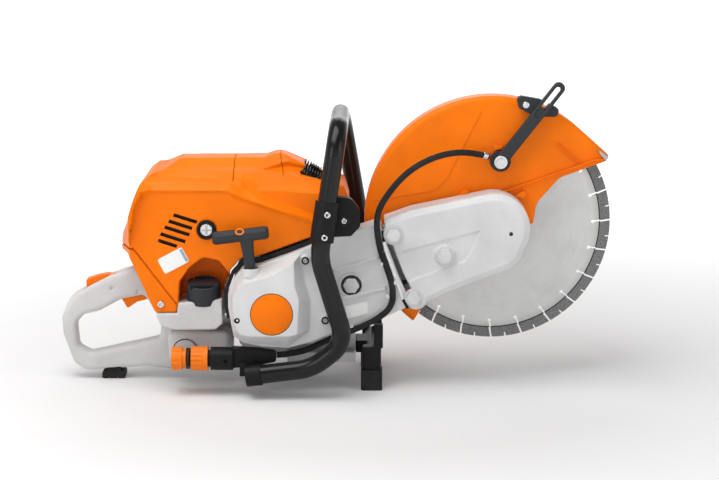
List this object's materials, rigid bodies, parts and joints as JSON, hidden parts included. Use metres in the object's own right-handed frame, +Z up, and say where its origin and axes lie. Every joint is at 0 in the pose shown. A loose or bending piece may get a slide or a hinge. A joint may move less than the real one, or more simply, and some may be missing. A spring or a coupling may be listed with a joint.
{
  "type": "rescue saw",
  "caption": "Petrol cut-off rescue saw: shrouded engine, rear handle with trigger, tubular front handle, belt arm, diamond wheel, tilting guard and water hose.",
  "frame": {"origin": "centre of the bounding box at floor level", "axes": "+X forward past the wheel, +Z up, -Y the belt and starter side"},
  "size_m": [0.8098, 0.2742, 0.4451],
  "materials": {
    "orange_plastic": "satin, fine grain",
    "orange_gloss": "gloss",
    "grey_plastic": "satin, light grey",
    "grey_paint": "satin powder coat, light grey",
    "slate_plastic": "matte, dark slate",
    "black_plastic": "satin, black",
    "black_tube": "gloss black coat",
    "rubber": "matte",
    "core_steel": "brushed round the axis",
    "segment_grit": "sintered, rough grit",
    "machined_steel": "machined",
    "zinc_screw": "bright zinc",
    "cast_alloy": "cast, bead blasted",
    "belt_rubber": "matte, ribbed",
    "orange_guard": "satin powder coat",
    "filter_paper": "pleated",
    "ceramic_white": "glazed",
    "rope_nylon": "braided"
  },
  "bodies": {
    "wheel": {"blade_core": "core_steel", "blade_segments": "segment_grit", "inner_flange": "machined_steel", "outer_flange": "machined_steel", "spindle": "machined_steel", "spindle_bolt": "zinc_screw", "driven_pulley": "machined_steel"},
    "machine": {"spindle_bearings": "machined_steel", "bearing_arm": "grey_paint", "belt_cover": "grey_paint", "arm_nuts": "grey_paint", "drive_housing": "grey_paint", "drive_belt": "belt_rubber", "crank_bearings": "machined_steel", "crankcase": "cast_alloy", "cylinder": "cast_alloy", "spark_plug": "ceramic_white", "muffler": "machined_steel", "throttle_body": "cast_alloy", "air_filter": "filter_paper", "ignition_module": "black_plastic", "fan_cover": "grey_plastic", "starter_cover": "grey_paint", "cover_seal": "rubber", "recoil_spring": "machined_steel", "starter_rope": "rope_nylon", "shroud_cover": "orange_plastic", "rear_shroud": "orange_plastic", "cover_screws": "zinc_screw", "fuel_tank": "grey_plastic", "rear_handle": "grey_plastic", "handle_pins": "machined_steel", "rubber_feet": "rubber", "front_handle": "black_tube", "handle_clamp": "black_plastic", "front_stand": "black_plastic", "upper_hose": "rubber", "lower_hose": "rubber", "valve_body": "black_plastic", "coupling_nose": "orange_gloss"},
    "drum": {"clutch_drum": "machined_steel"},
    "crank": {"crankshaft": "machined_steel", "clutch_hub": "machined_steel", "flywheel": "cast_alloy"},
    "piston_set": {"piston": "cast_alloy", "engine_pins": "machined_steel", "connecting_rod": "machined_steel"},
    "guard_set": {"guard": "orange_guard", "guard_lever": "slate_plastic", "nozzle_fitting": "zinc_screw"},
    "trigger_lever": {"trigger": "orange_plastic"},
    "lockout_lever": {"lockout": "orange_plastic"},
    "butterfly": {"throttle_plate": "machined_steel"},
    "pull_grip": {"starter_grip": "slate_plastic"},
    "rotor": {"rope_rotor": "black_plastic"},
    "filler_cap": {"fuel_cap": "slate_plastic"},
    "collar": {"coupling_collar": "orange_gloss"},
    "tensioner": {"tension_nut": "machined_steel"},
    "decompression": {"decompression_valve": "black_plastic"},
    "stop": {"stop_button": "black_plastic"}
  },
  "joints": [
    {"name": "blade_spin", "type": "hinge", "parent": "machine", "child": "wheel", "pos_m": [0.2299, 0.01597, 0.236], "axis": [0, 1, 0], "continuous": true},
    {"name": "drum_spin", "type": "hinge", "parent": "machine", "child": "drum", "pos_m": [-0.0891, -0.04403, 0.124], "axis": [0, 1, 0], "continuous": true},
    {"name": "crank_spin", "type": "hinge", "parent": "machine", "child": "crank", "pos_m": [-0.0891, 0.01597, 0.124], "axis": [0, 1, 0], "continuous": true},
    {"name": "piston_slide", "type": "slide", "parent": "machine", "child": "piston_set", "axis": [0, 0, 1], "range_m": [-0.038, 0]},
    {"name": "guard_tilt", "type": "hinge", "parent": "machine", "child": "guard_set", "pos_m": [0.2299, -0.00403, 0.236], "axis": [0, 1, 0], "range_deg": [-12, 22], "deforming": ["upper_hose"]},
    {"name": "throttle_trigger", "type": "hinge", "parent": "machine", "child": "trigger_lever", "pos_m": [-0.2901, 0.01597, 0.132], "axis": [0, 1, 0], "range_deg": [0, 11], "stiffness_Nm_per_rad": 0.4, "springref_deg": -11.46},
    {"name": "trigger_lockout", "type": "hinge", "parent": "machine", "child": "lockout_lever", "pos_m": [-0.3291, 0.01597, 0.138], "axis": [0, -1, 0], "range_deg": [0, 8], "stiffness_Nm_per_rad": 0.4, "springref_deg": -11.46},
    {"name": "throttle_turn", "type": "hinge", "parent": "machine", "child": "butterfly", "pos_m": [-0.1601, 0.01597, 0.216], "axis": [0, 1, 0], "range_deg": [0, 77]},
    {"name": "starter_pull", "type": "slide", "parent": "machine", "child": "pull_grip", "axis": [-0.1132, 0, 0.9936], "range_m": [0, 0.6], "stiffness_N_per_m": 20, "springref_m": -0.4, "deforming": ["starter_rope"]},
    {"name": "rotor_spin", "type": "hinge", "parent": "machine", "child": "rotor", "pos_m": [-0.0891, -0.09003, 0.124], "axis": [0, 1, 0], "range_deg": [0, 1300]},
    {"name": "cap_turn", "type": "hinge", "parent": "machine", "child": "filler_cap", "pos_m": [-0.1891, -0.05803, 0.133], "axis": [0, -0.2419, 0.9703], "range_deg": [0, 90]},
    {"name": "collar_slide", "type": "slide", "parent": "machine", "child": "collar", "axis": [1, 0, 0], "range_m": [0, 0.003], "stiffness_N_per_m": 1500, "springref_m": -0.004},
    {"name": "tension_turn", "type": "hinge", "parent": "machine", "child": "tensioner", "pos_m": [0.0239, -0.05903, 0.155], "axis": [0, 1, 0], "range_deg": [0, 90]},
    {"name": "decompression_push", "type": "slide", "parent": "machine", "child": "decompression", "axis": [-0.4472, 0, -0.8944], "range_m": [0, 0.004], "stiffness_N_per_m": 800, "springref_m": -0.003},
    {"name": "stop_push", "type": "slide", "parent": "machine", "child": "stop", "axis": [0, -1, 0], "range_m": [0, 0.003], "stiffness_N_per_m": 800, "springref_m": -0.002}
  ],
  "couplings": [
    {"joint": "drum_spin", "follows": "blade_spin", "ratio": 1.9048},
    {"joint": "throttle_turn", "follows": "throttle_trigger", "ratio": 7},
    {"joint": "rotor_spin", "follows": "starter_pull", "rad_per_m": 35.088}
  ]
}
